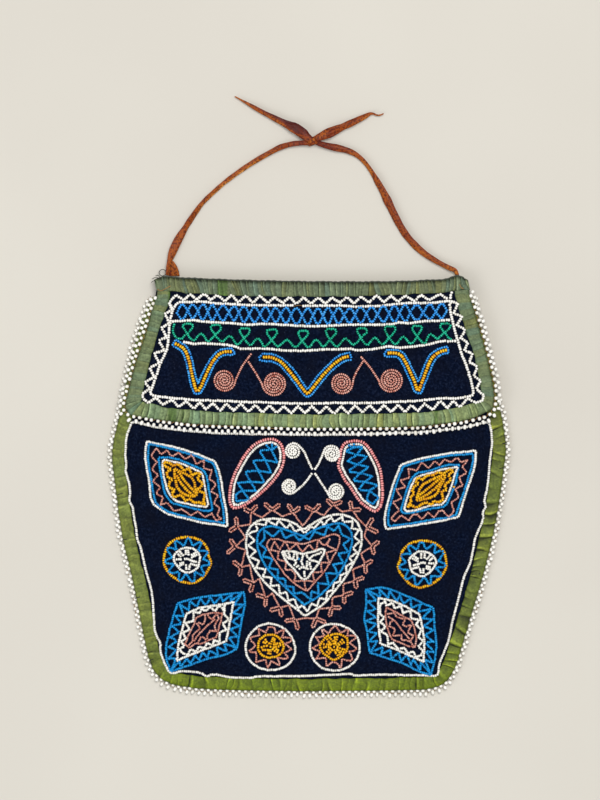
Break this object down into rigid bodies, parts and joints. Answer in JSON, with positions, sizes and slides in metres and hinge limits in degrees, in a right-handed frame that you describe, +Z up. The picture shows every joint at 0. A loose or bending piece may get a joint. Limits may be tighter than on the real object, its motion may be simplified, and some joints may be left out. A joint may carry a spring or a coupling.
{
  "type": "beaded pouch",
  "caption": "Flat wool cloth pouch with a flap, gathered ribbon bindings, raised glass-bead embroidery, picot bead edgings and a knotted ribbon strap.",
  "frame": {"origin": "centre of the box round the pouch without its strap, on the face that it lies on", "axes": "+Z up from the back through the flap; +Y from the foot to the flap's fold; +X across the pouch, to the right as the flap is seen"},
  "size_m": [0.1822, 0.2699, 0.0121],
  "materials": {
    "wool": "matt wool cloth, nearly black navy",
    "olive_ribbon": "satin gathered ribbon",
    "sage_ribbon": "satin gathered ribbon",
    "rust_silk": "satin creased ribbon",
    "white_beads": "opaque gloss",
    "yellow_beads": "opaque gloss",
    "royal_beads": "opaque gloss",
    "cerulean_beads": "opaque gloss",
    "green_beads": "opaque gloss",
    "rose_beads": "translucent gloss",
    "coral_beads": "opaque gloss"
  },
  "bodies": {
    "root": {"back_panel": "wool", "body_binding": "olive_ribbon", "body_border_beads": "white_beads", "body_edging_beads": "white_beads", "flap_binding": "sage_ribbon", "flap_chevron_beads_1": "yellow_beads", "flap_chevron_beads_2": "yellow_beads", "flap_chevron_beads_3": "yellow_beads", "flap_edging_beads": "white_beads", "flap_frame_beads": "white_beads", "flap_lattice_beads": "royal_beads", "flap_loop_beads": "green_beads", "flap_panel": "wool", "flap_scroll_beads_1": "rose_beads", "flap_scroll_beads_2": "rose_beads", "front_panel": "wool", "heart_core": "white_beads", "heart_inner_ring": "rose_beads", "heart_middle_ring": "cerulean_beads", "heart_outer_ring": "white_beads", "heart_sprigs": "rose_beads", "left_foot_rosette_disc": "yellow_beads", "left_foot_rosette_ring": "white_beads", "left_foot_rosette_zigzag": "rose_beads", "left_leaf_lattice": "cerulean_beads", "left_leaf_rim": "coral_beads", "left_lower_diamond_leaf": "rose_beads", "left_lower_diamond_middle_ring": "white_beads", "left_lower_diamond_outer_ring": "cerulean_beads", "left_rosette_ring": "yellow_beads", "left_rosette_wheel": "white_beads", "left_rosette_zigzag": "cerulean_beads", "left_upper_diamond_inner_rows": "cerulean_beads", "left_upper_diamond_leaf": "yellow_beads", "left_upper_diamond_outer_rows": "white_beads", "left_upper_diamond_zigzag": "rose_beads", "right_foot_rosette_disc": "yellow_beads", "right_foot_rosette_ring": "white_beads", "right_foot_rosette_zigzag": "rose_beads", "right_leaf_lattice": "cerulean_beads", "right_leaf_rim": "coral_beads", "right_lower_diamond_leaf": "rose_beads", "right_lower_diamond_middle_ring": "white_beads", "right_lower_diamond_outer_ring": "cerulean_beads", "right_rosette_ring": "yellow_beads", "right_rosette_wheel": "white_beads", "right_rosette_zigzag": "cerulean_beads", "right_upper_diamond_inner_rows": "cerulean_beads", "right_upper_diamond_leaf": "yellow_beads", "right_upper_diamond_outer_rows": "white_beads", "right_upper_diamond_zigzag": "rose_beads", "scroll_cross_beads": "white_beads", "strap_fold": "rust_silk", "strap_knot": "rust_silk", "strap_left": "rust_silk", "strap_right": "rust_silk", "strap_tail_left": "rust_silk", "strap_tail_right": "rust_silk", "top_binding": "sage_ribbon"}
  },
  "joints": []
}
